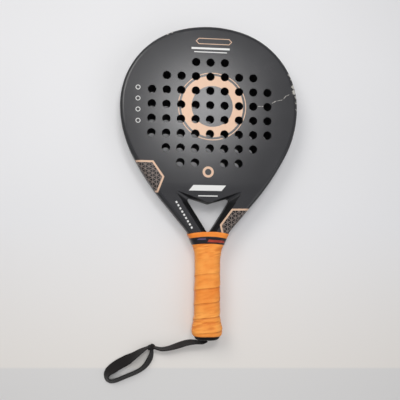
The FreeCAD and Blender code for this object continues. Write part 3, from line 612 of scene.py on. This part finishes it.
satin = lacquerMaterial("satinLacquer")
foam, cap, steel, baseGrip = foamMaterial(), capMaterial(), steelMaterial(), baseGripMaterial()
nodeMaterials = dict(frame_tube=satin, bridge_tube=satin, front_face=satin, back_face=satin,
                     foam_core=foam, handle_foam=foam, butt_cap=cap, strap_bar=steel,
                     strap_anchor=webbing)
for nodeName, material in nodeMaterials.items():
    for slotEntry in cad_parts[nodeName].material_slots:
        slotEntry.material = material
print("CAD nodes finished")


# stations of the wound overgrip's outside: y, half width, half depth, corner radius (mm)
gripStations = np.array([
    (-222.0, 20.2, 17.8, 13.5), (-219.0, 21.2, 18.3, 13.8), (-215.0, 21.7, 18.6, 13.9),
    (-211.0, 21.6, 18.5, 13.7), (-206.0, 20.7, 18.1, 13.3), (-200.0, 19.4, 17.6, 12.9),
    (-194.0, 18.5, 17.2, 12.6), (-188.0, 18.3, 16.9, 12.5), (-176.0, 18.3, 16.75, 12.5),
    (-150.0, 18.2, 16.8, 12.5), (-130.0, 18.2, 16.8, 12.5), (-115.0, 18.25, 16.8, 12.4),
    (-108.0, 18.5, 16.8, 12.0), (-102.0, 19.4, 16.85, 11.5), (-97.0, 20.9, 17.05, 10.9),
    (-92.0, 22.8, 17.4, 10.3), (-87.0, 24.9, 17.75, 9.8), (-83.0, 26.7, 18.0, 9.4),
    (-80.0, 28.1, 18.2, 9.1), (-77.0, 29.7, 18.4, 8.8), (-72.0, 32.2, 18.6, 8.5)])
overgripSettings = dict(bottom=-221.0, crest=-72.9, bandRadius=140.0, thickness=0.65, pitch=20.7,
                        lapStart=-153.2, lapStep=0.75, lapFade=0.42, groove=0.15, around=256, along=340,
                        dents=0.3, dentLength=13.0, wrinkles=0.14, wrinkleLength=1.7, lapShare=0.25,
                        lapWave=0.045, lapEdge=0.035, sunk=0.25, flareGain=2.6,
                        flares=((-203.0, 9.0, 1.0), (-99.0, 8.0, 0.7)), tapeLine=-85.0, tapeReach=6.0,
                        tapeDent=0.35, crestRoll=0.5, buttRoll=0.75, unevenCut=0.25, deepest=-0.7,
                        lining=0.75, shades=0.22, seed=7)


def gripSection(y, angle, offset):
    # rounded rectangle met by a ray at the angle: the nearer of its two flats, or, where the ray
    # leaves at a corner, k = m + sqrt(m^2 - |centre|^2 + r^2) with m = ray . corner's centre;
    # it rests flat where it would pass below the surface that the racket lies on
    a = np.interp(y, gripStations[:, 0], gripStations[:, 1]) + offset
    b = np.interp(y, gripStations[:, 0], gripStations[:, 2]) + offset
    r = np.interp(y, gripStations[:, 0], gripStations[:, 3]) + offset
    c, s = np.abs(np.cos(angle)) + 1e-9, np.abs(np.sin(angle)) + 1e-9
    cx, cz = a - r, b - r
    m = c * cx + s * cz
    corner = m + np.sqrt(np.maximum(m * m - cx * cx - cz * cz + r * r, 0))
    k = np.where(a / c * s <= cz, a / c, np.where(b / s * c <= cx, b / s, corner))
    return k * np.cos(angle), np.maximum(k * np.sin(angle), 0.08 - faceHeight / 2)


def evenAngles(count):
    # angles that space points evenly along the middle section
    t = np.linspace(0, 2 * np.pi, 4001)
    x, z = gripSection(np.full_like(t, -150.0), t, 0.0)
    run = np.concatenate([[0], np.cumsum(np.hypot(np.diff(x), np.diff(z)))])
    return np.interp(np.arange(count) / count * run[-1], run, t), np.arange(count) / count


def bandY(y, x, radius):
    # a level line bowed to an arc: y less R - sqrt(R^2 - x^2)
    return y - (radius - np.sqrt(radius ** 2 - np.minimum(np.abs(x), radius * 0.9) ** 2))


def bowedLevels(levels, angle, radius):
    # rows of points round the handle, level near the butt and bowed like its wound end near the throat
    y, turn = np.meshgrid(levels, angle, indexing="ij")
    x, _ = gripSection(y, turn, 0.0)
    return y + np.clip((y + 125.0) / 35.0, 0, 1) ** 1.5 * bandY(0.0, x, radius), turn


def ringPoints(y, turn, offset):
    # points on the section at each y, moved outward by the offset
    x, z = gripSection(y, turn, offset)
    return np.stack([x, y, z + faceHeight / 2], -1)


def lapHeight(y, share, s):
    # each turn lies over the one below it: up at its lower edge, then lapStep * exp(-f / lapFade)
    # along the share f of the pitch above it
    wave = s["lapWave"] * np.sin(4 * np.pi * share)      # flatter across the front and the back
    phase = (y - s["lapStart"]) / s["pitch"] + share + wave - s["lapShare"]
    f = phase - np.floor(phase)
    rise = np.clip(f / s["lapEdge"], 0, 1)
    pulled = np.clip((-118.0 - y) / 22.0, 0.2, 1)        # stretched flat towards the throat
    height = s["lapStep"] * rise * np.exp(-f / s["lapFade"]) * pulled
    groove = (np.exp(-((1 - f) / 0.085) ** 2) + np.exp(-(f / 0.02) ** 2)) * pulled
    return height, groove, phase


def overgripPiece(s):
    # outside rows from the butt to the crest, then inside rows back, all closed round the handle;
    # each outside point is moved outward by its lap, less its groove, plus its dents and creases
    angle, share = evenAngles(s["around"])
    u = np.linspace(0, 1, s["along"])
    y, turn = bowedLevels(s["bottom"] + (s["crest"] - s["bottom"]) * u, angle, s["bandRadius"])
    part = np.broadcast_to(share, y.shape)
    x, _ = gripSection(y, turn, 0.0)
    height, groove, phase = lapHeight(y, part, s)
    # smooth under the tape and at both ends, and more creased at the flare and below the tape
    quiet = np.clip((-78.5 - y) / 4.0, 0, 1) * np.clip((y + 220.0) / 5.0, 0, 1)
    pressed = np.clip(1 - np.abs(y - bandY(s["tapeLine"], x, s["bandRadius"])) / s["tapeReach"], 0, 1)
    dents = softNoise(s["seed"], part * 9, y / s["dentLength"], 9) * s["dents"]
    wound = (y + part * s["pitch"]) / s["wrinkleLength"]
    creases = softNoise(s["seed"] + 1, part * 14, wound, 14) * s["wrinkles"]
    flare = sum(gain * np.exp(-((y - level) / span) ** 2) for level, span, gain in s["flares"])
    creases = creases * (1 + s["flareGain"] * flare) * quiet
    offset = ((height - s["sunk"]) * quiet - s["groove"] * groove * quiet + dents * quiet
              + creases - s["tapeDent"] * pressed)
    # both ends rolled over, the upper one cut a little unevenly
    offset -= s["crestRoll"] * np.exp(-((y - bandY(s["crest"], x, s["bandRadius"])) / 0.7) ** 2)
    offset -= s["buttRoll"] * np.exp(-((y - s["bottom"]) / 0.9) ** 2)
    y = y + s["unevenCut"] * softNoise(s["seed"] + 2, part * 7, np.zeros_like(y), 7) * (u[:, None] > 0.97)
    outside = ringPoints(y, turn, np.maximum(offset, s["deepest"]))
    rows = np.arange(s["along"] - 1, -1, -14)
    inside = ringPoints(y[rows], turn[rows], -s["thickness"] - s["lining"])
    points = np.concatenate([outside, inside]) * mm
    spare = np.zeros(inside.shape[:2])
    # grooves and crease hollows darker, partly soiled and partly painted shade; each lap paler towards its
    # raised edge, partly rubbed wear and partly painted highlight, and lighter on crease crests as painted
    # light, with a random tone of its own per turn
    grooveDirtAndShade = np.clip(groove, 0, 1) * quiet + np.clip(-creases * 2.4, 0, 0.7)
    shades = np.random.default_rng(s["seed"]).uniform(-s["shades"], s["shades"], 64)
    rubbedAndPaintedLight = (np.clip(height / s["lapStep"], 0, 1) * 0.34 - 0.16
              + shades[np.floor(phase).astype(int) % 64] + creases * 0.7)
    fields = dict(groove=np.concatenate([grooveDirtAndShade, spare]), rubbedAndPaintedLight=np.concatenate([rubbedAndPaintedLight, spare]))
    return gridPiece("woundOvergrip", points, overgripMaterial(), closeRows=True,
                     closeCols=True, values=fields)


overgrip = overgripPiece(overgripSettings)
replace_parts(overgrip, "overgrip")
print("overgrip made", len(overgrip.data.polygons), "faces")


# cushioned base grip, which only shows at the ends of the overgrip
baseSettings = dict(bottom=-220.3, crest=-73.8, bandRadius=140.0, under=1.3, thickness=1.1, around=128,
                    along=90)


def baseGripPiece(s):
    # a plain sleeve under the overgrip: outside rows up, inside rows back down
    angle, _ = evenAngles(s["around"])
    levels = np.linspace(s["bottom"], s["crest"], s["along"])
    y, turn = bowedLevels(levels, angle, s["bandRadius"])
    outside = ringPoints(y, turn, -s["under"])
    inside = ringPoints(y, turn, -s["under"] - s["thickness"])[::-1]
    return gridPiece("cushionedGrip", np.concatenate([outside, inside]) * mm, baseGrip,
                     closeRows=True, closeCols=True)


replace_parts(baseGripPiece(baseSettings), "base_grip")
print("base grip made")


# finishing tape
tapeSettings = dict(top=-79.9, width=10.0, thickness=0.5, around=300, along=20, seed=23,
                    wrinkles=0.12, bandRadius=140.0, sunk=0.15, seamFrom=0.70, seamTo=0.80, seamRise=0.12,
                    unevenCut=0.22, lining=0.75)


def tapePiece(s):
    # a band a tape's width wide over the overgrip: outside rows down, inside rows back up, thinned
    # to nothing at both edges by the square root of the distance from them
    angle, share = evenAngles(s["around"])
    v = np.concatenate([[0.0], np.linspace(0.01, 0.99, s["along"]), [1.0]])
    level, turn = np.meshgrid(s["top"] - v * s["width"], angle, indexing="ij")
    part = np.broadcast_to(share, level.shape)
    x, _ = gripSection(level, turn, 0.2)
    y = bandY(level, x, s["bandRadius"])
    edge = np.minimum(v, 1 - v)[:, None]
    down = np.broadcast_to(v[:, None], part.shape)
    wave = softNoise(s["seed"], part * 16, down * 2, 16) * s["wrinkles"] * np.clip(edge / 0.1, 0, 1)
    lift = s["thickness"] * np.clip(edge / 0.03, 0, 1) ** 0.5 + wave - s["sunk"]
    # the tape's own end lies over its start, at the back
    seam = np.clip((part - s["seamFrom"]) / 0.006, 0, 1) * np.clip((s["seamTo"] - part) / 0.05, 0, 1)
    lift = lift + s["seamRise"] * seam
    y = y + s["unevenCut"] * softNoise(s["seed"] + 1, part * 11, np.sign(down - 0.5) * 3 + 5, 11)
    inside = ringPoints(y, turn, -s["lining"])[::-1]
    points = np.concatenate([ringPoints(y, turn, lift), inside])[::-1] * mm
    return gridPiece("finishingTape", points, tapeMaterial(), closeRows=True, closeCols=True)


tape = tapePiece(tapeSettings)
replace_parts(tape, "finishing_tape")
print("finishing tape made")


# floor: where its tone turns warmer, the line of its fold (mm) and its reach (m)
floorSettings = dict(warmFrom=-60.0, warmOver=220.0, foldSlope=0.013, foldLevel=-272.8, foldWidth=3.0,
                     reach=4.0)


def floorMaterial(s):
    # heavy matt paper: pale grey, warmer towards the strap and a shade darker past its fold
    material, tree, shader = newMaterial("mattPaper", "#e3e2e4", 0.9, Specular_IOR_Level=0.2)
    spot = objectMillimetres(tree)
    axes, flat = flatSpot(tree, spot)
    fold = addNode(tree, "VectorMath", {0: flat, 1: (s["foldSlope"], 1.0, -s["foldLevel"])}, output=1,
                   operation="DOT_PRODUCT")
    past = inked(tree, fold, s["foldWidth"])
    mottle = addNode(tree, "TexNoise", {"Vector": spot, "Scale": 0.004, "Detail": 2.0})
    paper = painted(tree, mottle, linearColour("#dfdfe0"), "#e4e4e6")
    near = addNode(tree, "Math", {0: axes[1], 1: -1 / s["warmOver"], 2: s["warmFrom"] / s["warmOver"]},
                   operation="MULTIPLY_ADD", use_clamp=True)
    paper = painted(tree, near, paper, "#e4e0db")
    colour = painted(tree, past, paper, "#d9d8d7")
    tree.links.new(colour, shader.inputs["Base Color"])
    return material


floorMesh = bpy.data.meshes.new("floor")
floorReach = floorSettings["reach"]
floorMesh.from_pydata([(-floorReach, -floorReach, 0), (floorReach, -floorReach, 0),
                       (floorReach, floorReach, 0), (-floorReach, floorReach, 0)], [], [(0, 1, 2, 3)])
floorMesh.materials.append(floorMaterial(floorSettings))
floor = bpy.data.objects.new("floor", floorMesh)
bpy.context.scene.collection.objects.link(floor)

lightSettings = [
    # name, place, aim, size, watts, colour, seen in reflections
    ("keyLight", (-0.75, 0.75, 1.25), (0.0, 0.0, 0.0), 0.9, 9.4, "#fffefb", True),
    ("faceLight", (0.062, 0.330, 0.922), (0.0, 0.10, 0.038), 0.26, 2.2, "#ffffff", True),
    ("cameraLight", (-0.06, -0.09, 1.02), (-0.03, 0.0, 0.0), 0.22, 2.5, "#ffffff", False),
    ("fillLight", (1.1, -0.6, 1.3), (0.0, 0.0, 0.0), 1.2, 3.4, "#fbfcff", True),
]
for name, place, aim, spread, watts, colour, mirrored in lightSettings:
    lamp = bpy.data.lights.new(name, "AREA")
    lamp.shape = "DISK"
    lamp.size = spread
    lamp.energy = watts
    lamp.color = linearColour(colour)[:3]
    holder = bpy.data.objects.new(name, lamp)
    way = np.array(place) - np.array(aim)
    flatReach = math.hypot(way[0], way[1])
    holder.location = place
    holder.rotation_euler = (math.atan2(flatReach, way[2]), 0.0, math.atan2(way[0], -way[1]))
    holder.visible_glossy = mirrored
    bpy.context.scene.collection.objects.link(holder)

skyStrength = 0.34
world = bpy.data.worlds.new("studio")
world.use_nodes = True
world.node_tree.nodes["Background"].inputs[0].default_value = linearColour("#ececef")
world.node_tree.nodes["Background"].inputs[1].default_value = skyStrength
bpy.context.scene.world = world
bpy.context.scene.view_settings.view_transform = "Standard"
print("stage and light set")
